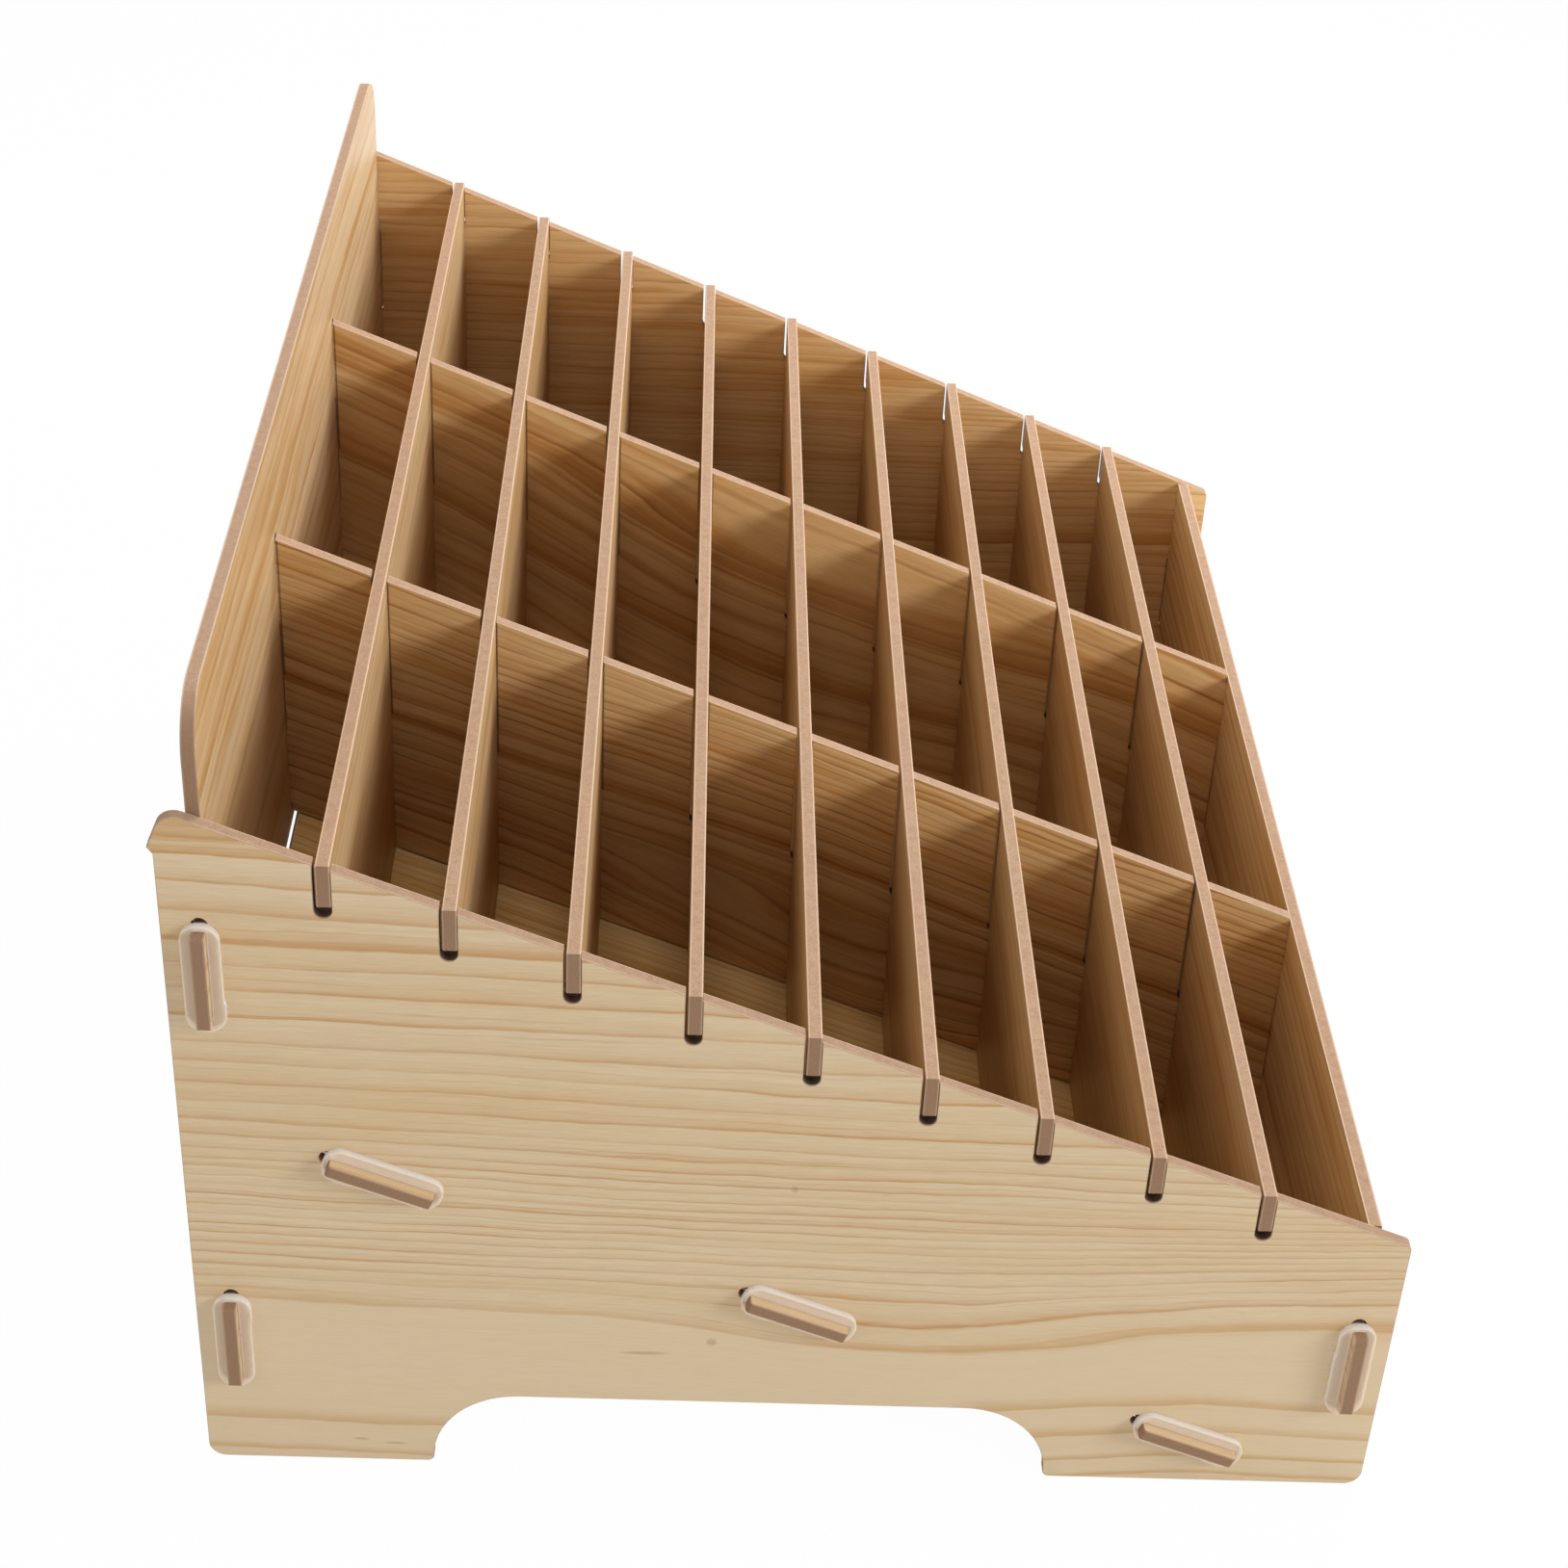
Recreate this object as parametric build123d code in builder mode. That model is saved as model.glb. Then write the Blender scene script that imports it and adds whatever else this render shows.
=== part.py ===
"""Desk letter rack: upright compartments in rows on a sloping floor.

Flat laminated boards slot together. The long row dividers drop into open slots in the two
side panels and lap over two column dividers. Every other board has through tabs, and a soft
ring round each tab outside the side panels keeps the joint from pulling apart.

Frame: X runs along the row dividers, +Y points to the tall back, Z is up. The origin is at
the middle of the rack's underside. Lengths are in millimetres, angles in degrees.
"""
import os
from math import cos, radians, sin, sqrt, tan

from build123d import *

os.makedirs("parts", exist_ok=True)

# Boards and compartments
board = 3.0                  # thickness of every board
row_divider_count = 9
bay_pitch = 25.4             # from the middle of one row divider to the next
cell_width = 111.2           # clear width of a compartment
cell_depth = 77.0            # from the sloping top line straight down to the floor
slope_angle = 22.0           # of the top line and of the floor

# Clearances
slot_play = 0.7              # open slots are this much wider than a board
slot_rest_gap = 0.1          # between a row divider and the front walls of its slots
mortise_play = 0.4           # mortises are this much wider than a board
shoulder_gap = 0.15          # between a board's shoulder and the panel it meets
rest_gap = 0.05              # between a row divider's bottom edge and the floor
ear_gap = 2.1                # between a row divider's ears and the bottoms of their slots
lap_gap = 0.5                # between the slot ends where a row and a column divider cross
floor_end_gap = 0.6          # between the floor's ends and the back and front panels
column_floor_gap = 0.3       # between a column divider and the floor

# Side panels
end_margin = 8.1             # from the middle of the back or front panel to the panel's edge
back_foot_length = 52.4
front_foot_length = 75.0
foot_radius = 4.0            # bottom corners
foot_inner_radius = 1.6      # corners where the feet meet the arch
arch_straight = 0.3          # plain stretch between that corner and the arch's round
arch_radius = 20.0
front_corner_radius = 1.8
head_depth = 9.3             # of the square end at the top of the back edge
head_overhang = 1.2          # of that end over the back edge
head_step = 1.7              # height of the small step under it
head_radius = 4.0

# Through tabs of the panels and the floor
tab_length = 24.2
tab_corner = 0.8
mortise_slack = 4.2          # mortises are this much longer than their tabs
low_tab_height = 39.5        # middle of the lower tabs, above the table
upper_tab_drop = 38.0        # middle of the back panel's upper tabs, below the top line
floor_tab_inset = 34.7       # from each end of the floor to the middle of its nearest tab
tab_end_show = 2.3           # of a tab, past its ring

# Back and front panels
panel_lift = 0.8             # their bottom edges above the table
back_rise = 25.7             # of the back panel above the top line
back_corner_radius = 13.0
back_leg_width = 40.0        # each side of the opening under the back panel
back_opening_radius = 20.0
floor_lift = 0.5             # lowest edge of the floor above the table

# Dividers
ear_drop = 9.7               # lower edge of a row divider's ears, below the top line
column_slot_depth = 37.0     # open slots of the column dividers, below the top line
column_tab_length = 21.8
column_tab_slack = 2.4       # their mortises are this much longer
column_back_inset = 0.5      # of the upper tab at the back, below the top line
column_front_inset = 1.9     # of the upper tab at the front, below the front panel's top edge
column_low_inset = 1.4       # of the lower tabs, above the divider's bottom edge

# Lock rings
ring_thickness = 2.1
ring_side_band = 2.5         # band along the long sides
ring_end_band = 0.95         # band round the upper end
ring_play = 0.1              # between a ring and its tab
ring_low_extra = 1.0         # extra width of the band round the lower end
ring_step = 0.5              # extra width of one end of one long side
ring_end_radius = 3.8
ring_corner_share = 0.47     # most of a ring's width that one of its corners takes
ring_jog_radius = 1.0        # where the wider end begins
ring_edge_radius = 0.5

# Sizes that follow
slope = radians(slope_angle)
rise = tan(slope)
inner_width = 3 * cell_width + 2 * board
outer_width = inner_width + 2 * board
shoulder_width = inner_width - 2 * shoulder_gap
column_x = (cell_width + board) / 2
half_bays = (row_divider_count + 1) / 2 * bay_pitch
middle_y = -head_overhang / 2
back_y = middle_y + half_bays
front_y = middle_y - half_bays
back_face_y = back_y - board / 2
front_face_y = front_y + board / 2
back_edge_y = back_y + end_margin
front_edge_y = front_y - end_margin
slot_width = board + slot_play
mortise_width = board + mortise_play
mortise_length = tab_length + mortise_slack
tab_reach = board + ring_thickness + tab_end_show
tab_span = inner_width + 2 * tab_reach

# A board's square corners meet the round end of a slot this far from its tip
slot_tip = slot_width / 2 - sqrt((slot_width / 2) ** 2 - (board / 2) ** 2)

# The floor lies along the slope, with its lowest corner just above the table
end_lean = board / 2 * sin(slope)
floor_half_run = half_bays - board / 2 - floor_end_gap - end_lean
floor_length = 2 * floor_half_run / cos(slope)
floor_height = floor_lift + board / 2 * cos(slope) + floor_half_run * rise
floor_back_corner = floor_height + floor_half_run * rise - board / 2 * cos(slope)
floor_tab_pitch = floor_length / 2 - floor_tab_inset


def top_at(y):
    """Height of the sloping top line at y."""
    return floor_height + board / 2 / cos(slope) + cell_depth + (y - middle_y) * rise


upper_tab_height = top_at(back_y) - upper_tab_drop
back_top = top_at(back_y) + back_rise
divider_ys = [back_y - number * bay_pitch for number in range(1, row_divider_count + 1)]
floor_tab_places = [
    (middle_y + step * floor_tab_pitch * cos(slope), floor_height + step * floor_tab_pitch * sin(slope))
    for step in (1, 0, -1)
]

# Side panels: sloping top, feet with an arch between them, open slots and mortises
side_slot_depth = ear_drop + ear_gap + slot_tip
arch_height = foot_inner_radius + arch_straight + arch_radius
head_corner_y = back_edge_y + head_overhang - head_depth * sin(slope)
head_tip_z = top_at(head_corner_y) - head_depth * cos(slope)
side_corners = [
    ((back_edge_y, 0), foot_radius),
    ((back_edge_y, head_tip_z - head_step), 0),
    ((back_edge_y + head_overhang, head_tip_z), 0),
    ((head_corner_y, top_at(head_corner_y)), head_radius),
    ((front_edge_y, top_at(front_edge_y)), front_corner_radius),
    ((front_edge_y, 0), foot_radius),
    ((front_edge_y + front_foot_length, 0), foot_inner_radius),
    ((front_edge_y + front_foot_length, arch_height), arch_radius),
    ((back_edge_y - back_foot_length, arch_height), arch_radius),
    ((back_edge_y - back_foot_length, 0), foot_inner_radius),
]

with BuildSketch() as side_profile:
    with BuildLine():
        FilletPolyline(
            *[corner for corner, radius in side_corners],
            radius=[radius for corner, radius in side_corners],
            close=True,
        )
    make_face()
    with Locations(*[(y, top_at(y)) for y in divider_ys]):
        SlotOverall(2 * side_slot_depth, slot_width, rotation=90, mode=Mode.SUBTRACT)
    with Locations((back_y, upper_tab_height), (back_y, low_tab_height), (front_y, low_tab_height)):
        SlotOverall(mortise_length, mortise_width, rotation=90, mode=Mode.SUBTRACT)
    with Locations(*floor_tab_places):
        SlotOverall(mortise_length, mortise_width, rotation=slope_angle, mode=Mode.SUBTRACT)

for side, start_x in (("left", -outer_width / 2), ("right", inner_width / 2)):
    with BuildPart() as side_panel:
        with BuildSketch(Plane.YZ.offset(start_x)):
            add(side_profile.sketch_local)
        extrude(amount=board)
    side_panel.part.label = f"{side}_side_panel"
    export_step(side_panel.part, f"parts/{side}_side_panel.step")

# Heights of the middles of the column dividers' tabs, two at each end
column_tab_reach = shoulder_gap + board
column_mortise_length = column_tab_length + column_tab_slack
column_drop = cell_depth - column_floor_gap
low_tab_drop = column_drop - column_low_inset - column_tab_length / 2
back_tab_heights = [
    top_at(back_face_y) - column_back_inset - column_tab_length / 2,
    top_at(back_face_y) - low_tab_drop,
]
front_tab_heights = [
    top_at(front_y) - column_front_inset - column_tab_length / 2,
    top_at(front_face_y) - low_tab_drop,
]
column_xs = (-column_x, column_x)

# Back panel: rounded top, tabs into the side panels, open below the floor between two legs
with BuildPart() as back_panel:
    with BuildSketch(Plane.XZ.offset(-back_y)):
        with BuildLine():
            FilletPolyline(
                (-shoulder_width / 2, panel_lift),
                (-shoulder_width / 2, back_top),
                (shoulder_width / 2, back_top),
                (shoulder_width / 2, panel_lift),
                radius=[0, back_corner_radius, back_corner_radius, 0],
                close=True,
            )
        make_face()
        with Locations((0, upper_tab_height), (0, low_tab_height)):
            RectangleRounded(tab_span, tab_length, tab_corner)
        with BuildLine():
            FilletPolyline(
                (back_leg_width - shoulder_width / 2, 0),
                (back_leg_width - shoulder_width / 2, floor_back_corner),
                (shoulder_width / 2 - back_leg_width, floor_back_corner),
                (shoulder_width / 2 - back_leg_width, 0),
                radius=[0, back_opening_radius, back_opening_radius, 0],
                close=True,
            )
        make_face(mode=Mode.SUBTRACT)
        with Locations(*[(x, height) for x in column_xs for height in back_tab_heights]):
            SlotOverall(column_mortise_length, mortise_width, rotation=90, mode=Mode.SUBTRACT)
    extrude(amount=board / 2, both=True)
back_panel.part.label = "back_panel"
export_step(back_panel.part, "parts/back_panel.step")

# Front panel: level with the top line, one tab each side
with BuildPart() as front_panel:
    with BuildSketch(Plane.XZ.offset(-front_y)):
        with Locations((0, panel_lift)):
            Rectangle(shoulder_width, top_at(front_y) - panel_lift, align=(Align.CENTER, Align.MIN))
        with Locations((0, low_tab_height)):
            RectangleRounded(tab_span, tab_length, tab_corner)
        with Locations(*[(x, height) for x in column_xs for height in front_tab_heights]):
            SlotOverall(column_mortise_length, mortise_width, rotation=90, mode=Mode.SUBTRACT)
    extrude(amount=board / 2, both=True)
front_panel.part.label = "front_panel"
export_step(front_panel.part, "parts/front_panel.step")

# Floor: one sloping board with three tabs each side
floor_plane = Plane(
    origin=(0, middle_y, floor_height),
    x_dir=(1, 0, 0),
    z_dir=(0, -sin(slope), cos(slope)),
)
with BuildPart() as floor_panel:
    with BuildSketch(floor_plane):
        Rectangle(shoulder_width, floor_length)
        with GridLocations(0, floor_tab_pitch, 1, len(floor_tab_places)):
            RectangleRounded(tab_span, tab_length, tab_corner)
    extrude(amount=board / 2, both=True)
floor_panel.part.label = "floor_panel"
export_step(floor_panel.part, "parts/floor_panel.step")

# Column dividers: sloping boards with open slots for the row dividers and two tabs at each end
column_back_y = back_face_y - shoulder_gap
column_front_y = front_face_y + shoulder_gap

with BuildSketch() as column_profile:
    with BuildLine():
        Polyline(
            (column_front_y, top_at(column_front_y)),
            (column_back_y, top_at(column_back_y)),
            (column_back_y, top_at(column_back_y) - column_drop),
            (column_front_y, top_at(column_front_y) - column_drop),
            close=True,
        )
    make_face()
    with Locations(
        *[(column_back_y, height) for height in back_tab_heights],
        *[(column_front_y, height) for height in front_tab_heights],
    ):
        RectangleRounded(2 * column_tab_reach, column_tab_length, tab_corner)
    with BuildLine():
        Polyline(
            (column_front_y, top_at(column_front_y)),
            (column_back_y, top_at(column_back_y)),
            (column_back_y, back_top),
            (column_front_y, back_top),
            close=True,
        )
    make_face(mode=Mode.SUBTRACT)
    with Locations(*[(y, top_at(y)) for y in divider_ys]):
        SlotOverall(2 * column_slot_depth, slot_width, rotation=90, mode=Mode.SUBTRACT)

for side, x in (("left", -column_x), ("right", column_x)):
    with BuildPart() as column_divider:
        with BuildSketch(Plane.YZ.offset(x)):
            add(column_profile.sketch_local)
        extrude(amount=board / 2, both=True)
    column_divider.part.label = f"{side}_column_divider"
    export_step(column_divider.part, f"parts/{side}_column_divider.step")

# Row dividers: all alike, drawn about the top line, with ears for the side panels' slots
divider_proud = board / 2 * rise
divider_drop = cell_depth - board / 2 * rise - rest_gap
row_slot_depth = divider_drop - column_slot_depth + 2 * slot_tip + lap_gap

with BuildSketch() as row_profile:
    with Locations((0, divider_proud)):
        Rectangle(shoulder_width, divider_proud + divider_drop, align=(Align.CENTER, Align.MAX))
        Rectangle(outer_width, divider_proud + ear_drop, align=(Align.CENTER, Align.MAX))
    with Locations(*[(x, -divider_drop) for x in column_xs]):
        SlotOverall(2 * row_slot_depth, slot_width, rotation=90, mode=Mode.SUBTRACT)

for number, slot_y in enumerate(divider_ys, start=1):
    y = slot_y - slot_play / 2 + slot_rest_gap
    divider_plane = Plane(origin=(0, y, top_at(y)), x_dir=(1, 0, 0), z_dir=(0, -1, 0))
    with BuildPart() as row_divider:
        with BuildSketch(divider_plane):
            add(row_profile.sketch_local)
        extrude(amount=board / 2, both=True)
    row_divider.part.label = f"row_divider_{number}"
    export_step(row_divider.part, f"parts/row_divider_{number}.step")

# Lock rings: place and lean of each, which end of which long side is the wider one, and how far past
# the ring's middle it begins, as a share of the ring's length
back_tab, middle_tab, front_tab = floor_tab_places
ring_places = {
    "back_upper": ((back_y, upper_tab_height), 90, -1, 1, 0.22),
    "back_lower": ((back_y, low_tab_height), 90, 1, 1, 0.22),
    "front": ((front_y, low_tab_height), 90, -1, -1, -0.17),
    "floor_back": (back_tab, slope_angle, 1, -1, 0.22),
    "floor_middle": (middle_tab, slope_angle, 1, -1, 0.22),
    "floor_front": (front_tab, slope_angle, -1, -1, 0.22),
}
ring_inner_length = tab_length + 2 * ring_play
ring_inner_width = board + 2 * ring_play
ring_length = ring_inner_length + 2 * ring_end_band + ring_low_extra
ring_width = ring_inner_width + 2 * ring_side_band
ring_corner_radius = min(ring_end_radius, ring_corner_share * ring_width)


def ring_outline(wide_end, long_side, jog_share):
    """Corners and corner radii of a ring, whose one long side is wider towards one end."""
    end = wide_end * ring_length / 2
    edge = long_side * ring_width / 2
    jog = wide_end * jog_share * ring_length
    jog_half = wide_end * ring_step
    return [
        ((-end, -edge), ring_corner_radius),
        ((end, -edge), ring_corner_radius),
        ((end, edge + long_side * ring_step), ring_corner_radius),
        ((jog + jog_half, edge + long_side * ring_step), ring_jog_radius),
        ((jog - jog_half, edge), ring_jog_radius),
        ((-end, edge), ring_corner_radius),
    ]


for side, seat, outward in (("left", -outer_width / 2, -1), ("right", outer_width / 2, 1)):
    for name, ((y, z), lean, wide_end, long_side, jog_share) in ring_places.items():
        outline = ring_outline(wide_end, long_side, jog_share)
        tab_middle = Plane.YZ.offset(seat) * Location((y, z, 0), (0, 0, lean))
        ring_plane = tab_middle * Location((-ring_low_extra / 2, 0, 0))
        with BuildPart() as ring:
            with BuildSketch(ring_plane):
                with BuildLine():
                    FilletPolyline(
                        *[corner for corner, radius in outline],
                        radius=[radius for corner, radius in outline],
                        close=True,
                    )
                make_face()
                with Locations((ring_low_extra / 2, 0)):
                    Rectangle(ring_inner_length, ring_inner_width, mode=Mode.SUBTRACT)
            extrude(amount=outward * ring_thickness)
            outer_face = ring.faces().sort_by(Axis.X)[-1 if outward > 0 else 0]
            fillet(outer_face.outer_wire().edges(), ring_edge_radius)
        ring.part.label = f"{side}_ring_{name}"
        export_step(ring.part, f"parts/{side}_ring_{name}.step")
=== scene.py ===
"""Looks of the desk letter rack: printed pine faces, raw fibreboard edges and soft milky lock rings."""
from dataclasses import dataclass
from math import cos, pi, radians, sin, tan

import bmesh
import bpy
from mathutils import Matrix, Vector


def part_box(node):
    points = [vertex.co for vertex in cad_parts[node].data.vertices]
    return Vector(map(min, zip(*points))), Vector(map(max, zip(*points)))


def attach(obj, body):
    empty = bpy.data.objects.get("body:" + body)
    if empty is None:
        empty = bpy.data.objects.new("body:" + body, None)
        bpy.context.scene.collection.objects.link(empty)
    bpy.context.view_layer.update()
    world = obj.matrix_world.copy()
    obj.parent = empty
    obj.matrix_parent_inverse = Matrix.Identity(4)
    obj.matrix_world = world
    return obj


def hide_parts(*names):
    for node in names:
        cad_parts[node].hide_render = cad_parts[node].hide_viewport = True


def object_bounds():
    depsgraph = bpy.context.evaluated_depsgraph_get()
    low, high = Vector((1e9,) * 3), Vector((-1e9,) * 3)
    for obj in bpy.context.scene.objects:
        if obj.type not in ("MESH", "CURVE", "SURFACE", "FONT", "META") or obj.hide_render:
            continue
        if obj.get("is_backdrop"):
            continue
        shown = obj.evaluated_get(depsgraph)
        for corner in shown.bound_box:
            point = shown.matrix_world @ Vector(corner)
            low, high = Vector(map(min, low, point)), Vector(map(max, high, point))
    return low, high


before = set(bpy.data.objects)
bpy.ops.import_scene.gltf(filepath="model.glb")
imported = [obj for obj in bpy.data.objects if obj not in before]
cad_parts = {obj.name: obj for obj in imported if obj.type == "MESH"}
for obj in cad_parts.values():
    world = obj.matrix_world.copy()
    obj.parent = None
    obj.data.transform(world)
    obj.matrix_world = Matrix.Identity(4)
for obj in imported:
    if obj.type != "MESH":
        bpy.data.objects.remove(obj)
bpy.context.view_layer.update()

MM = 0.001
slope = radians(22)                      # of the rack's floor and top line
along_rows = Vector((1, 0, 0))
to_back = Vector((0, 1, 0))
upright = Vector((0, 0, 1))
up_slope = Vector((0, cos(slope), sin(slope)))
off_slope = Vector((0, -sin(slope), cos(slope)))

# Boards
edge_break = 0.14 * MM                   # of the sharp corner between a printed face and a cut edge
pale_line = 0.28                         # of the cut edge beside each printed face, in mm
board_thickness = 3.0                    # in mm
tab_start = -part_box("left_side_panel")[0][0] / MM + 0.1    # from the rack's middle plane, in mm
top_line = 130.99                        # height of the side panels' top line at the rack's middle, in mm
row_place, bay_pitch = -0.6, 25.4        # of the row dividers' slots, from front to back, in mm
row_reach = 4.5 * bay_pitch              # from the middle row divider past the last one

# Lock rings, in metres
ring_crown = 0.4 * MM                    # rounding of a ring's outer rim
ring_crown_share = 0.6                   # most of a ring's band that this rounding takes
ring_hole_round = 0.35 * MM              # rounding of the rim of its hole
ring_hole_share = 0.25                   # most of the band that this one takes
ring_hole_half = Vector((12.2, 1.6)) * MM
ring_hole_off = 0.5 * MM                 # of the hole towards the upper end
ring_half = Vector((13.65, 4.1)) * MM
ring_hole_corner = 0.5 * MM
ring_corner = 3.8 * MM
ring_step = 0.3 * MM                     # extra width of one end of one long side
ring_round_steps = 5                     # of a rim's rounding
ring_corner_steps = 10                   # to a right angle of its outline


def colour(red, green, blue):
    """A colour as picked on a screen, 0 to 255, in the renderer's linear values."""
    parts = [part / 255 for part in (red, green, blue)]
    linear = [p / 12.92 if p <= 0.04045 else ((p + 0.055) / 1.055) ** 2.4 for p in parts]
    return (*linear, 1)


class Signal:
    """A node's output that varies over a surface. Operators on it add Math nodes."""

    def __init__(self, finish, socket):
        self.finish = finish
        self.socket = socket

    def maths(self, operation, *values):
        return self.finish.node("ShaderNodeMath", {"operation": operation}, dict(enumerate(values)))

    def __add__(self, other):
        return self.maths("ADD", self, other)

    __radd__ = __add__

    def __sub__(self, other):
        return self.maths("SUBTRACT", self, other)

    def __rsub__(self, other):
        return self.maths("SUBTRACT", other, self)

    def __mul__(self, other):
        return self.maths("MULTIPLY", self, other)

    __rmul__ = __mul__

    def __truediv__(self, other):
        return self.maths("DIVIDE", self, other)

    def __abs__(self):
        return self.maths("ABSOLUTE", self)

    def above(self, other):
        return self.maths("GREATER_THAN", self, other)

    def fraction(self):
        return self.maths("FRACT", self)

    def whole(self):
        return self.maths("FLOOR", self)

    def most(self, other):
        return self.maths("MAXIMUM", self, other)

    def rise(self, low, high):
        """0 below low, 1 above high, with a smooth step between."""
        return self.finish.node(
            "ShaderNodeMapRange",
            {"interpolation_type": "SMOOTHSTEP"},
            {"Value": self, "From Min": low, "From Max": high},
        )


class Finish:
    """A material's or the world's nodes, all added by one method."""

    def __init__(self, owner):
        owner.use_nodes = True
        self.owner = owner
        self.tree = owner.node_tree
        self.tree.nodes.clear()

    def node(self, kind, settings=None, sockets=None, output=0):
        node = self.tree.nodes.new(kind)
        for name, value in (settings or {}).items():
            setattr(node, name, value)
        for key, value in (sockets or {}).items():
            if isinstance(value, Signal):
                self.tree.links.new(value.socket, node.inputs[key])
            else:
                node.inputs[key].default_value = value
        return Signal(self, node.outputs[output]) if node.outputs else None

    def place(self):
        """Where a point of the surface is in the rack's frame, in mm."""
        return self.scaled(self.node("ShaderNodeTexCoord", output="Object"), 1 / MM)

    def facing(self):
        return self.node("ShaderNodeTexCoord", output="Normal")

    def scaled(self, vector, factor):
        return self.node("ShaderNodeVectorMath", {"operation": "SCALE"}, {0: vector, "Scale": factor})

    def dot(self, vector, direction):
        settings = {"operation": "DOT_PRODUCT"}
        return self.node("ShaderNodeVectorMath", settings, {0: vector, 1: direction}, "Value")

    def spot(self, x, y, z):
        return self.node("ShaderNodeCombineXYZ", None, {"X": x, "Y": y, "Z": z})

    def noise(self, vector, detail=2.0, roughness=0.5):
        """Smooth noise from 0 to 1, one lump about every unit."""
        return self.node(
            "ShaderNodeTexNoise", None,
            {"Vector": vector, "Scale": 1.0, "Detail": detail, "Roughness": roughness},
        )

    def blend(self, share, first, second, how="MIX"):
        """Two colours mixed by a share of the second."""
        settings = {"data_type": "RGBA", "blend_type": how}
        return self.node("ShaderNodeMix", settings, {0: share, 6: first, 7: second}, 2)

    def dimmed(self, tone, brightness):
        """A colour times a brightness that varies."""
        return self.blend(1.0, tone, self.spot(brightness, brightness, brightness), "MULTIPLY")

    def seen_by(self, *kinds):
        """1 for rays of these kinds, else 0."""
        rays = [self.node("ShaderNodeLightPath", output=f"Is {kind} Ray") for kind in kinds]
        seen = rays[0]
        for ray in rays[1:]:
            seen = seen.most(ray)
        return seen

    def surface(self, shader):
        on_world = isinstance(self.owner, bpy.types.World)
        output = "ShaderNodeOutputWorld" if on_world else "ShaderNodeOutputMaterial"
        self.node(output, None, {"Surface": shader})


# Printed pine: one print, paler on the rack's outside; between its boards it takes warmer colours with darker
# lines, as painted shade
OUTER_PALE = colour(217, 195, 160)
OUTER_GOLD = colour(211, 183, 140)
OUTER_LATE = colour(188, 136, 75)
INNER_SHADED_PALE = colour(222, 190, 142)
INNER_SHADED_GOLD = colour(205, 160, 101)
INNER_SHADED_LATE = colour(162, 106, 52)
PINE_KNOT = colour(160, 122, 84)
FIBRE_LIGHT = colour(193, 159, 131)
FIBRE_DARK = colour(167, 131, 104)
FIBRE_END = colour(144, 112, 86)
# painted shade, for the slots' walls and the seams' shadow lines
SLOT_SHADE = colour(66, 44, 32)
PAPER_EDGE = colour(228, 200, 170)


@dataclass
class Figure:
    """How a board's printed grain runs. Lengths are in mm, heights count across the grain."""

    spacing: float                       # from one growth ring's line to the next
    close: tuple = (0.0, 1.0, 0.0)       # heights between which more rings crowd in, and how many
    calm: tuple = (-9000.0, -8000.0)     # heights between which no lines show
    dip: tuple = (0.0, 1.0, 0.0, 0.0)    # a bow of the lines: where along, half length, depth, top height
    wedge: tuple = (0.0, 1.0, 0.0, 0.0)  # climb of the lines to the front: where from, to, climb, height
    tilt: float = 0.0                    # drop of the lines along the grain
    sway: float = 12.0                   # slow wander of the lines
    bands: tuple = ()                    # gold bands: height, half width, where along from and to
    marks: tuple = ()                    # short dark marks: place along, height, half length, half height
    slots: tuple = ()                    # open slots for the row dividers, with painted shade on their walls: half width, lowest
    seams: tuple = ()                    # lap slots with a painted shadow line along their front edge: half width, depth
    contrast: float = 0.9                # strength of the rings' lines, inside the rack
    fine: float = 0.26                   # strength of the fine lines between them, inside the rack
    tone_and_light: tuple = (1.0, 1.0, 1.0)        # on this board's print where it looks into the rack: partly its own tone, partly painted light and shade
    edge: float = 1.0                    # brightness of its raw edge


# Grain: lumps are (along, across) the grain, in mm
sway_lump = (190, 60)
ripple_lump = (26, 7)
ripple_size = 2.2                        # in mm
bow_fade = 20                            # of a bow below its top height, in mm
climb_reach = (2.0, 28.0)                # full climb within the first, none past the second, in mm
uneven_lump = (800, 14)
uneven_rings = 1.5                       # most that the rings crowd or spread, in rings
line_start, shade_start, line_full = 0.76, 0.2, 0.94    # shares of a ring
line_strength, shade_strength, thin_strength = 0.46, 0.32, 0.42
thin_per_ring = 2.37                     # thin lines to a ring
thin_start, thin_full = 0.7, 0.93
thin_run, ring_run = 60, 120             # along which a line's own strength changes, in mm
weakest_ring = 0.25                      # share of full strength that every ring's line has
calm_lines = 0.94                        # share of the lines that a calm part loses
fibre_lump = (8, 0.5)
fibre_tone = 0.32
calm_fibre = 0.16                        # of it, lost in a calm part
fine_lump = (90, 1.2)
fine_outside = 0.1                       # strength of the fine lines on the rack's outside
streak_lump = (70, 3.2)
tone_lump = (230, 24)
band_ends = 12                           # over which a band fades along the grain, in mm
band_edge = 0.35                         # over which its lower edge fades
mark_strength = 0.45
seam_shadow_strength = 0.72
# of the painted shade in the slots
slot_shade_strength = 0.9
felt_grains, clump_grains = 2.2, 0.5     # lumps of the raw edge to a mm


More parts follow.
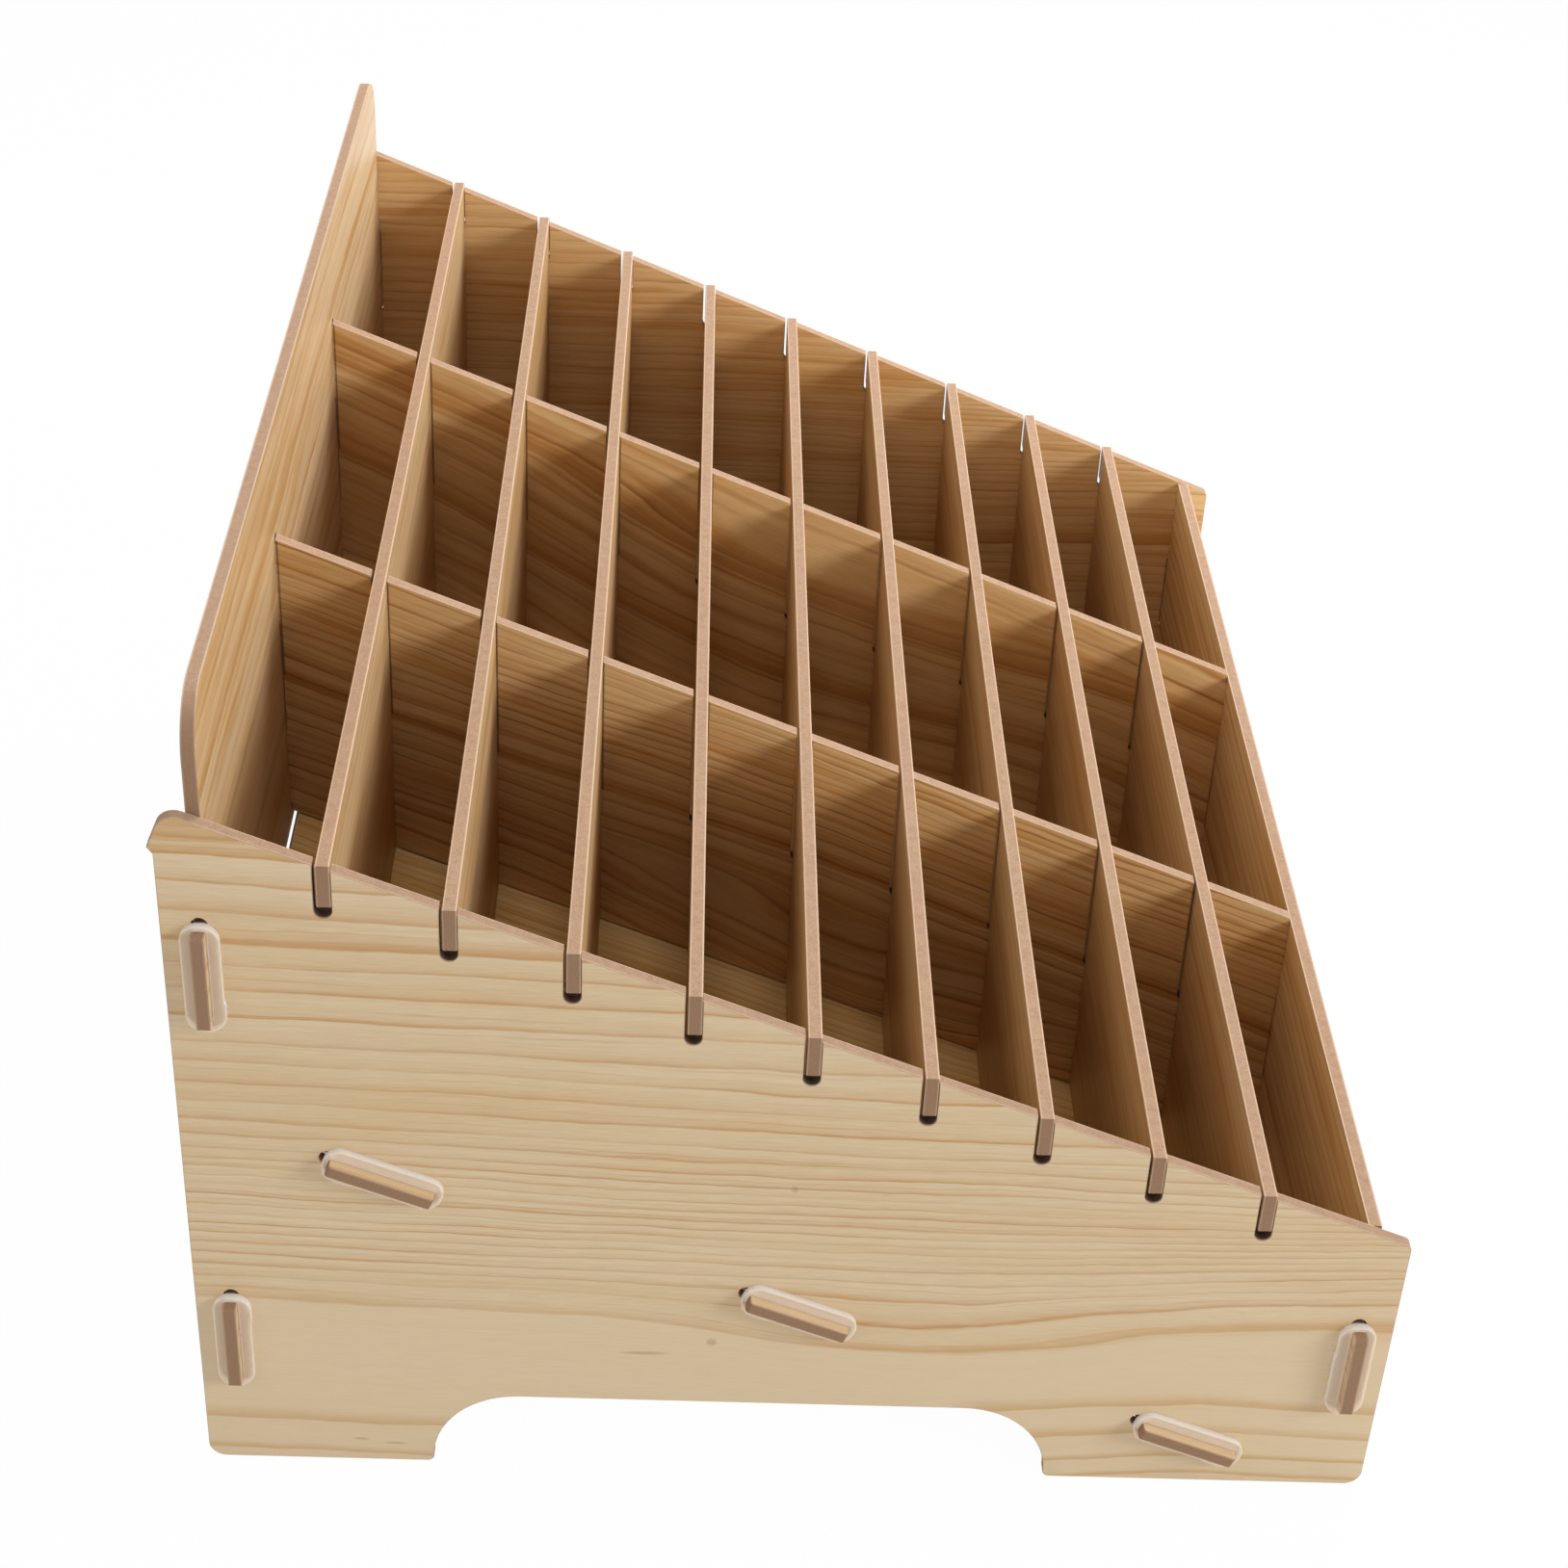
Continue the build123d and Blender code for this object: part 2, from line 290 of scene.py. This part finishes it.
class PineBoard(Finish):
    """Printed pine on a board's two faces, raw fibreboard on its cut edges."""

    def __init__(self, name, axis, middle, outward, grain, across, seed, figure):
        """A board whose faces are square to axis, with its middle at a place along it, in mm.

        outward is the sign along axis of the face that looks out of the rack, or 0 where both look inwards.
        """
        super().__init__(bpy.data.materials.new(name))
        self.figure = figure
        self.seed = seed
        self.here = self.place()
        self.length = self.dot(self.here, grain)
        self.height = self.dot(self.here, across)
        self.through = abs(self.dot(self.here, axis) - middle)
        facing = self.facing()
        on_tab = abs(self.dot(self.here, along_rows)).above(tab_start)
        self.outside = (self.dot(facing, axis) * outward).above(0.5).most(on_tab)
        self.face = abs(self.dot(facing, axis)).above(0.85)
        self.end = abs(self.dot(facing, along_rows)).rise(0.3, 1.0).most(on_tab)
        self.level = self.ring_level()
        self.calm = self.calm_part()
        self.fibre = self.lumps(fibre_lump, self.height, 0, 3.0, 0.65) - 0.5
        self.felt = self.noise(self.scaled(self.here, felt_grains), 4.0, 0.65)

    def lumps(self, size, heights, shift, detail=2.0, roughness=0.5):
        """Noise stretched along the grain."""
        along, over = size
        place = self.spot(self.length / along, heights / over, self.seed + shift)
        return self.noise(place, detail, roughness)

    def line_noise(self, count, step, run, shift):
        """Noise that differs from one counted line to the next and changes slowly along each."""
        return self.noise(self.spot(count.whole() * step, self.length / run, self.seed + shift))

    def ring_level(self):
        """Height across the grain, shifted by the tilt, wander, bow and climb of the growth rings."""
        figure = self.figure
        sway = self.lumps(sway_lump, self.height, 0) - 0.5
        ripple = self.lumps(ripple_lump, self.height, 3.7, 3.0, 0.55) - 0.5
        bow_at, bow_half, bow_depth, bow_top = figure.dip
        bow = 1 - abs(self.length - bow_at).rise(0.0, bow_half)
        bow = bow * (1 - self.height.rise(bow_top - bow_fade, bow_top)) * bow_depth
        climb_from, climb_to, climb, climb_height = figure.wedge
        wedge = 1 - self.length.rise(climb_to, climb_from)
        wedge = wedge * (1 - abs(self.height - climb_height).rise(*climb_reach)) * climb
        level = self.height + self.length * figure.tilt + sway * figure.sway + ripple * ripple_size
        return level + bow - wedge

    def calm_part(self):
        low, high = self.figure.calm
        return self.level.rise(low - 2, low + 2) * (1 - self.level.rise(high - 1.5, high + 1.0))

    def growth_lines(self):
        """Late wood of the growth rings, cut nearly along the grain, with thin lines between."""
        close_low, close_high, close_count = self.figure.close
        crowd = self.level.rise(close_low, close_high) * close_count
        along, over = uneven_lump
        uneven = self.noise(self.spot(self.level / over, self.seed + 1.3, self.length / along)) - 0.5
        count = self.level / self.figure.spacing + crowd + uneven * uneven_rings
        ring = 1 - count.fraction()
        past_line = 1 - ring.rise(line_full, 1.0)
        line = ring.rise(line_start, line_full) * past_line
        shade = ring.rise(shade_start, line_full) * past_line
        thin_count = count * thin_per_ring + uneven
        thin = thin_count.fraction()
        thin_line = thin.rise(thin_start, thin_full) * (1 - thin.rise(thin_full, 1.0))
        thin_share = self.line_noise(thin_count, 5.31, thin_run, 9.4).rise(0.36, 0.7)
        late = line * line_strength + shade * shade_strength + thin_line * thin_share * thin_strength
        ring_share = self.line_noise(count, 3.73, ring_run, 5.1).rise(0.25, 0.7)
        ring_share = ring_share * (1 - weakest_ring) + weakest_ring
        return late * ring_share * (1 - self.calm * calm_lines)

    def gold_band(self, height, half, start, stop):
        """A band with a firm lower edge that fades upwards and at both ends."""
        off = self.level - height
        band = off.rise(-band_edge, 0.05) * (1 - off.rise(0.0, 2 * half))
        band = band * self.length.rise(start - band_ends, start)
        return band * (1 - self.length.rise(stop, stop + band_ends))

    def dark_mark(self, at, height, half, thick):
        off_along = (self.length - at) / half
        off_across = (self.height - height) / thick
        return 1 - (off_along * off_along + off_across * off_across).rise(0.0, 1.0)

    def printed_face(self):
        """Pale and gold wood with the rings' lines, and the marks of this board."""
        figure = self.figure
        outside = self.outside
        late = self.growth_lines()
        fine = self.lumps(fine_lump, self.level, 6.6, 2.0, 0.6).rise(0.4, 0.8)
        streak = self.lumps(streak_lump, self.level, 8.2)
        tone = self.lumps(tone_lump, self.level, 2.4)
        gold = (tone * 0.75 + streak * 0.45 - 0.12).rise(0.3, 0.85) * (1 - self.calm * 0.7)
        for place in figure.bands:
            band = self.gold_band(*place)
            gold = gold + band * (streak * 0.9 + 0.45)
            late = late + band * band * (streak * 0.5 + 0.1)
        late = late * (outside * (1 - figure.contrast) + figure.contrast)
        late = late + fine * (outside * (fine_outside - figure.fine) + figure.fine) * (1 - self.calm * 0.9)
        gold = gold + streak.rise(0.48, 0.72) * (1 - outside) * 0.5
        # Inside the rack the print's warmer colours and darker lines are painted shade
        pale_wood = self.blend(outside, INNER_SHADED_PALE, OUTER_PALE)
        gold_wood = self.blend(outside, INNER_SHADED_GOLD, OUTER_GOLD)
        late_wood = self.blend(outside, INNER_SHADED_LATE, OUTER_LATE)
        wood = self.blend(gold, pale_wood, gold_wood)
        wood = self.blend(late, wood, late_wood)
        # painted light and shade: each board's inside print is brightened, darkened or warmed by its own
        # factor
        wood = self.blend(1 - outside, wood, (*figure.tone_and_light, 1), "MULTIPLY")
        for place in figure.marks:
            wood = self.blend(self.dark_mark(*place) * outside * mark_strength, wood, PINE_KNOT)
        wood = self.dimmed(wood, self.fibre * (fibre_tone - self.calm * calm_fibre) + 1.0)
        if figure.seams:
            half, depth = figure.seams
            # painted shadow line along the front edge of each seam, down to its depth
            seam_shadow = 1 - abs(self.off_row() + half + 0.12).rise(0.08, 0.28)
            seam_shadow = seam_shadow * (1 - self.under_top().above(depth))
            wood = self.blend(seam_shadow * seam_shadow_strength, wood, SLOT_SHADE)
        return wood

    def off_row(self):
        """How far behind the nearest row divider's slot a point lies, in mm."""
        rows = (self.dot(self.here, to_back) - row_place) / bay_pitch
        return ((rows + 0.5).fraction() - 0.5) * bay_pitch

    def under_top(self):
        """How far a point lies below the side panels' top line, in mm."""
        return self.dot(self.here, to_back) * tan(slope) + top_line - self.dot(self.here, upright)

    def painted_slot_shade(self):
        """Walls of the row dividers' slots, darkened as painted shade below their mouths."""
        off_row = abs(self.off_row())
        if self.figure.slots:
            half, lowest = self.figure.slots
            in_slot = (1 - off_row.above(half)) * self.height.above(lowest)
            return in_slot * self.under_top().rise(0.5, 3.0)
        half, depth = self.figure.seams
        past_rows = abs(self.dot(self.here, to_back) - row_place).above(row_reach)
        return (1 - off_row.above(half + 0.1)) * self.under_top().rise(0.5, 2.0) * (1 - past_rows)

    def raw_edge(self):
        """Felted fibres between the two pale lines of the printed faces, darker on the ends of tabs."""
        clump = self.noise(self.scaled(self.here, clump_grains))
        raw = self.blend((self.felt * 0.75 + clump * 0.35).rise(0.35, 0.8), FIBRE_LIGHT, FIBRE_DARK)
        raw = self.blend(self.end * (self.felt * 0.4 + 0.7), raw, FIBRE_END)
        raw = self.dimmed(raw, 1 + self.end * (self.felt - 0.5) * 0.9)
        if self.figure.slots or self.figure.seams:
            # painted shade deep in the slots
            raw = self.blend(self.painted_slot_shade() * slot_shade_strength, raw, SLOT_SHADE)
        pale_start = board_thickness / 2 - pale_line
        rim = self.through.rise(pale_start - 0.12, pale_start + 0.05)
        raw = self.blend(rim * (0.7 - self.end * 0.5), raw, PAPER_EDGE)
        brightness = self.figure.edge
        return self.blend(1.0, raw, (brightness, brightness, brightness, 1), "MULTIPLY")

    def material(self):
        relief = self.fibre * 0.25 * self.face + self.felt * (1 - self.face)
        bump = self.node(
            "ShaderNodeBump", None, {"Height": relief, "Strength": 0.25, "Distance": 0.06 * MM})
        board = self.node("ShaderNodeBsdfPrincipled", None, {
            "Base Color": self.blend(self.face, self.raw_edge(), self.printed_face()),
            "Roughness": 0.92 - self.face * 0.54 + self.fibre * 0.1,
            "Normal": bump,
            "Specular IOR Level": 0.45,
        }, "BSDF")
        self.surface(board)
        return self.owner


# Silicone of the lock rings
MILK_LIGHT = colour(220, 200, 178)
MILK_DARK = colour(214, 193, 171)
RIM_HIGHLIGHT = colour(250, 240, 230)
GLOW_FLAT = colour(228, 208, 188)
GLOW_RIM = colour(246, 238, 230)
painted_glow = 0.2                       # painted glow: emission that lightens the rings and the shade the tabs cast on them, standing in for light spread inside the silicone
ring_cover = 0.58                        # share of what lies behind that a ring's flat hides
ring_rim_cover = 0.15                    # more of it at the rounded rim


def silicone(name):
    """Milky soft silicone that lets what lies behind it show through, least at its rounded rim, with a
    painted highlight on that rim and a painted glow.
    """
    finish = Finish(bpy.data.materials.new(name))
    spot = finish.place()
    cloud = finish.noise(finish.scaled(spot, 0.35))
    round_over = (1 - abs(finish.dot(finish.facing(), along_rows))).rise(0.2, 0.9)
    milk = finish.blend(cloud, MILK_LIGHT, MILK_DARK)
    # painted highlight: the rounded rim is whitened
    milk = finish.blend(round_over * 0.6, milk, RIM_HIGHLIGHT)
    ring = finish.node("ShaderNodeBsdfPrincipled", None, {
        "Base Color": milk,
        "Roughness": cloud * 0.12 + 0.34,
        "IOR": 1.41,
        "Subsurface Weight": 0.9,
        "Subsurface Radius": (1.0, 0.92, 0.84),
        "Subsurface Scale": 5.0 * MM,
        "Alpha": round_over * ring_rim_cover + ring_cover,
        # painted glow: the ring gives off light of its own, most at its rim
        "Emission Color": finish.blend(round_over, GLOW_FLAT, GLOW_RIM),
        "Emission Strength": painted_glow,
    }, "BSDF")
    finish.surface(ring)
    return finish.owner


def dressed(name, mesh, node, body, material):
    """A finished piece that stands for a CAD node."""
    piece = bpy.data.objects.new(name, mesh)
    bpy.context.scene.collection.objects.link(piece)
    mesh.materials.append(material)
    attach(piece, body)
    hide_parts(node)
    return piece


def reach(node, direction):
    """Lowest and highest place of a node's solid along a direction, in metres."""
    places = [vertex.co.dot(direction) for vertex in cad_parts[node].data.vertices]
    return min(places), max(places)


def middle_of(node, direction):
    return sum(reach(node, direction)) / 2


def board_mesh(node, axis):
    """A board's solid with the sharp corners along its printed faces broken."""
    shape = bmesh.new()
    shape.from_mesh(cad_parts[node].data)
    bmesh.ops.remove_doubles(shape, verts=shape.verts, dist=0.001 * MM)
    bmesh.ops.dissolve_limit(shape, angle_limit=radians(0.2), verts=shape.verts, edges=shape.edges)
    rims = []
    for edge in shape.edges:
        if len(edge.link_faces) == 2:
            flat = [abs(face.normal.dot(axis)) > 0.9 for face in edge.link_faces]
            if flat[0] != flat[1]:
                rims.append(edge)
    bmesh.ops.bevel(
        shape, geom=rims, offset=edge_break, offset_type="OFFSET", segments=1, profile=0.5,
        affect="EDGES", clamp_overlap=True,
    )
    mesh = bpy.data.meshes.new(node + "_dressed")
    shape.to_mesh(mesh)
    shape.free()
    mesh.shade_smooth()
    mesh.set_sharp_from_angle(angle=radians(25))
    return mesh


full_length = (-400.0, 400.0)            # of a band that runs the whole board
near_back = (60.0, 200.0)
near_front = (-200.0, -45.0)
side_slots = (2.2, 40.0)
column_seams = (1.85, 37.0)

side_figure = Figure(
    6.8, close=(48.0, 108.0, 9.0), calm=(-20.0, 48.0), dip=(-25.0, 75.0, 8.0, 62.0),
    wedge=(-30.0, -150.0, 10.0, 62.0), tilt=-0.03, sway=7.0,
    bands=((177.0, 5.0, *near_back), (173.5, 4.0, *near_back), (170.0, 3.6, *near_back),
           (48.0, 1.5, -200.0, -10.0), (8.5, 2.6, *near_back), (-1.2, 1.2, *near_back),
           (28.5, 2.2, *near_front), (19.5, 2.0, *near_front), (11.5, 1.2, *near_front),
           (5.5, 1.0, *near_front)),
    marks=((33.5, 37.2, 7.0, 0.7), (18.3, 41.2, 1.6, 1.4), (1.5, 88.5, 1.1, 1.3), (99.0, 6.8, 2.4, 0.5),
           (91.0, 5.6, 3.4, 0.5)),
    slots=side_slots, edge=0.85,
)
far_figure = Figure(
    3.4, close=(70.0, 130.0, 10.0), tilt=-0.01, sway=9.0, bands=((58.0, 4.0, *full_length),),
    slots=side_slots, contrast=0.7, fine=0.2, tone_and_light=(1.08, 1.02, 0.93))
back_figure = Figure(
    7.0, close=(165.0, 205.0, 3.0), tilt=0.006, sway=10.0,
    bands=((184.0, 3.0, *full_length), (118.0, 4.0, *full_length)),
    contrast=0.6, fine=0.1, tone_and_light=(0.95, 0.98, 1.08))
front_figure = Figure(
    4.6, tilt=0.008, sway=10.0, bands=((28.0, 3.0, *full_length),), tone_and_light=(1.1, 1.15, 1.2))
floor_figure = Figure(
    4.4, close=(-140.0, -20.0, 10.0), sway=14.0,
    bands=((58.0, 5.0, *full_length), (-92.0, 5.0, *full_length)), tone_and_light=(1.0, 0.94, 0.78))
near_column_figure = Figure(
    4.6, close=(95.0, 130.0, 6.0), dip=(10.0, 90.0, 9.0, 84.0), sway=14.0,
    bands=((86.0, 3.0, *full_length),),
    seams=column_seams, contrast=1.1, fine=0.4, tone_and_light=(1.0, 0.96, 0.88))
far_column_figure = Figure(
    6.4, dip=(40.0, 110.0, 12.0, 120.0), tilt=-0.05, sway=16.0,
    bands=((103.0, 5.0, *full_length), (78.0, 4.0, *full_length)),
    seams=column_seams, tone_and_light=(1.07, 1.03, 0.95))

# Square to the faces, the face that looks out, along and across the grain, body, figure
boards = {
    "left_side_panel": (along_rows, -1, to_back, upright, "rack", side_figure),
    "right_side_panel": (along_rows, 1, to_back, upright, "rack", far_figure),
    "back_panel": (to_back, 1, along_rows, upright, "rack", back_figure),
    "front_panel": (to_back, -1, along_rows, upright, "rack", front_figure),
    "floor_panel": (off_slope, -1, up_slope, along_rows, "rack", floor_figure),
    "left_column_divider": (along_rows, 0, up_slope, off_slope, "rack", near_column_figure),
    "right_column_divider": (along_rows, 0, up_slope, off_slope, "rack", far_column_figure),
}
for number in range(1, 10):
    row_figure = Figure(
        3.2 + 0.5 * (number % 4), tilt=0.006 * (number % 3 - 1), sway=9.0,
        bands=((40.0 + 23.0 * (number % 5), 3.0, *full_length),),
        contrast=0.6, fine=0.2, tone_and_light=(0.93, 0.93, 0.96))
    boards[f"row_divider_{number}"] = (to_back, 0, along_rows, upright, f"row_divider_{number}", row_figure)

seed_step = 11.3                         # between one board's noise and the next one's
for seed, (node, (axis, outward, grain, across, body, figure)) in enumerate(boards.items()):
    middle = middle_of(node, axis) / MM
    finish = PineBoard("pine_" + node, axis, middle, outward, grain, across, seed_step * seed, figure)
    dressed(node + "_board", board_mesh(node, axis), node, body, finish.material())


def ring_rim(half, side, jog_share):
    """Points of a ring's outline, as (along, across), with one long side wider towards one end."""
    jog = half * jog_share * 2 * ring_half.x
    corners = [
        ((-half * ring_half.x, -side * ring_half.y), ring_corner),
        ((half * ring_half.x, -side * ring_half.y), ring_corner),
        ((half * ring_half.x, side * (ring_half.y + ring_step)), ring_corner),
        ((jog + half * ring_step, side * (ring_half.y + ring_step)), 2 * ring_step),
        ((jog - half * ring_step, side * ring_half.y), 2 * ring_step),
        ((-half * ring_half.x, side * ring_half.y), ring_corner),
    ]
    rim = []
    for index, (corner, radius) in enumerate(corners):
        corner = Vector(corner)
        before = (Vector(corners[index - 1][0]) - corner).normalized()
        after = (Vector(corners[(index + 1) % len(corners)][0]) - corner).normalized()
        inside = before.angle(after)
        bisector = (before + after).normalized()
        centre = corner + bisector * (radius / sin(inside / 2))
        setback = radius / tan(inside / 2)
        first = corner + before * setback - centre
        turn = first.angle_signed(corner + after * setback - centre)
        steps = max(2, round(abs(turn) / (pi / 2) * ring_corner_steps))
        for step in range(steps + 1):
            rim.append(centre + Matrix.Rotation(-turn * step / steps, 2) @ first)
    return rim


def ring_mesh(node, seat, outward, thickness, centre, along, across, outline):
    """A soft ring with a rounded rim, lying on the side panel round a tab."""
    core = ring_hole_half - Vector((ring_hole_corner, ring_hole_corner))
    shape = bmesh.new()
    rows = []
    for rim_point in outline:
        nearest = Vector((
            max(ring_hole_off - core.x, min(ring_hole_off + core.x, rim_point.x)),
            max(-core.y, min(core.y, rim_point.y))))
        hole_point = nearest + (rim_point - nearest).normalized() * ring_hole_corner
        inward = (hole_point - rim_point).normalized()
        band = (hole_point - rim_point).length
        crown = min(ring_crown, ring_crown_share * band)
        hole_round = min(ring_hole_round, ring_hole_share * band)
        section = [(rim_point, 0.0)]
        for step in range(ring_round_steps + 1):
            turn = step / ring_round_steps * pi / 2
            section.append((
                rim_point + inward * crown * (1 - cos(turn)), thickness - crown * (1 - sin(turn))))
        for step in range(ring_round_steps + 1):
            turn = step / ring_round_steps * pi / 2
            section.append((
                hole_point - inward * hole_round * (1 - sin(turn)), thickness - hole_round * (1 - cos(turn))))
        section.append((hole_point, 0.0))
        rows.append([
            shape.verts.new(
                along_rows * (seat + outward * lift) + centre + along * spot.x + across * spot.y)
            for spot, lift in section
        ])
    for row, following in zip(rows, rows[1:] + rows[:1]):
        for index in range(len(row)):
            shape.faces.new((row[index - 1], row[index], following[index], following[index - 1]))
    bmesh.ops.recalc_face_normals(shape, faces=shape.faces)
    mesh = bpy.data.meshes.new(node + "_dressed")
    shape.to_mesh(mesh)
    shape.free()
    mesh.shade_smooth()
    mesh.set_sharp_from_angle(angle=radians(50))
    return mesh


# The board whose tab a ring holds, along and across the ring, place of its jog as a share of its length
ring_boards = {
    "back_upper": ("back_panel", upright, to_back, 0.22),
    "back_lower": ("back_panel", upright, to_back, 0.22),
    "front": ("front_panel", upright, to_back, -0.17),
    "floor_back": ("floor_panel", up_slope, off_slope, 0.22),
    "floor_middle": ("floor_panel", up_slope, off_slope, 0.22),
    "floor_front": ("floor_panel", up_slope, off_slope, 0.22),
}
milky = silicone("milky_silicone")
for rack_side, outward in (("left", -1), ("right", 1)):
    for place, (board, along, across, jog_share) in ring_boards.items():
        node = f"{rack_side}_ring_{place}"
        low, high = reach(node, along_rows)
        seat = high if outward < 0 else low
        middle_along = middle_of(node, along)
        middle_across = middle_of(board, across)
        near_side, far_side = reach(node, across)
        side = 1 if far_side - middle_across > middle_across - near_side else -1
        wide = [
            vertex.co.dot(along) - middle_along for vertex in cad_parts[node].data.vertices
            if side * (vertex.co.dot(across) - middle_across) > ring_half.y + ring_step / 2
        ]
        half = 1 if sum(wide) > 0 else -1
        centre = along * middle_along + across * middle_across
        outline = ring_rim(half, side, jog_share)
        mesh = ring_mesh(node, seat, outward, high - low, centre, along, across, outline)
        dressed(node + "_soft", mesh, node, "rack", milky)


# Stage: plain pale floor, white for the camera but for the rack's own shadow
shaded_half_width = (115.0, 145.0)       # of the floor that lies in the rack's own shade, in mm
shaded_half_depth = (120.0, 138.0)
floor_white = 0.98                       # share of plain white in what the camera sees of the floor
background_rays = ("Camera", "Glossy", "Transmission")


def pale_floor():
    finish = Finish(bpy.data.materials.new("pale_floor"))
    spot = finish.place()
    under = 1 - abs(finish.dot(spot, along_rows)).rise(*shaded_half_width)
    under = under * (1 - abs(finish.dot(spot, to_back)).rise(*shaded_half_depth))
    seen = finish.seen_by(*background_rays) * (1 - under)
    matte = finish.node("ShaderNodeBsdfDiffuse", None, {"Color": colour(240, 239, 237)})
    white = finish.node("ShaderNodeEmission", None, {"Color": (1, 1, 1, 1), "Strength": 1.0})
    finish.surface(finish.node("ShaderNodeMixShader", None, {0: seen * floor_white, 1: matte, 2: white}))
    return finish.owner


floor_half = 4.0                         # in metres
floor_mesh = bpy.data.meshes.new("floor")
floor_mesh.from_pydata(
    [(-floor_half, -floor_half, 0), (floor_half, -floor_half, 0),
     (floor_half, floor_half, 0), (-floor_half, floor_half, 0)],
    [], [(0, 1, 2, 3)],
)
floor = bpy.data.objects.new("floor", floor_mesh)
bpy.context.scene.collection.objects.link(floor)
floor_mesh.materials.append(pale_floor())
floor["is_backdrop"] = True

# Light: an even white surround and soft boxes
world = bpy.data.worlds.new("surround")
bpy.context.scene.world = world
surround = Finish(world)
shown = surround.seen_by(*background_rays)
surround_level = 0.4
surround.surface(surround.node("ShaderNodeBackground", None, {
    "Color": (1, 1, 1, 1), "Strength": shown * (1 - surround_level) + surround_level}))


rack_middle = Vector((0, 0, 0.1))


def soft_box(name, place, width, height, power):
    """A soft box that points at the middle of the rack, with lengths in metres and its power in watts."""
    lamp = bpy.data.lights.new(name, "AREA")
    lamp.shape = "RECTANGLE"
    lamp.size = width
    lamp.size_y = height
    lamp.energy = power
    box = bpy.data.objects.new(name, lamp)
    bpy.context.scene.collection.objects.link(box)
    box.location = place
    box.rotation_euler = (Vector(place) - rack_middle).to_track_quat("Z", "Y").to_euler()
    return box


soft_box("front_box", (-1.05, -1.75, 1.0), 0.8, 0.7, 23.5)
soft_box("rear_box", (-1.0, 0.95, 0.85), 0.7, 0.6, 3.0)
soft_box("far_box", (0.55, -0.3, 0.6), 0.4, 0.4, 4.2)
soft_box("top_box", (-0.12, 0.02, 1.6), 0.5, 0.35, 4.6)

# Camera at the photograph's view
picture_width = 1628.0                   # pixels
focal_length = 3012.745                  # pixels
middle_off = Vector((-53.65, -30.69))    # of the lens axis from the picture's middle, in pixels
camera_turn = Vector((1.6580, -1.6240, 0.8967))
camera_place = Vector((-643.11, 28.63, 521.21)) * MM

view = bpy.data.cameras.new("photo_view")
view.sensor_width = 36.0
view.lens = focal_length / picture_width * view.sensor_width
view.shift_x = -middle_off.x / picture_width
view.shift_y = middle_off.y / picture_width
view.clip_start = 0.01
view.clip_end = 50
camera = bpy.data.objects.new("photo_view", view)
bpy.context.scene.collection.objects.link(camera)
turn = Matrix.Rotation(camera_turn.length, 3, camera_turn.normalized())
stance = Matrix((turn[0], -turn[1], -turn[2])).transposed().to_4x4()
camera.matrix_world = Matrix.Translation(camera_place) @ stance
bpy.context.scene.camera = camera

bpy.context.scene.view_settings.view_transform = "Standard"

low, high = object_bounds()
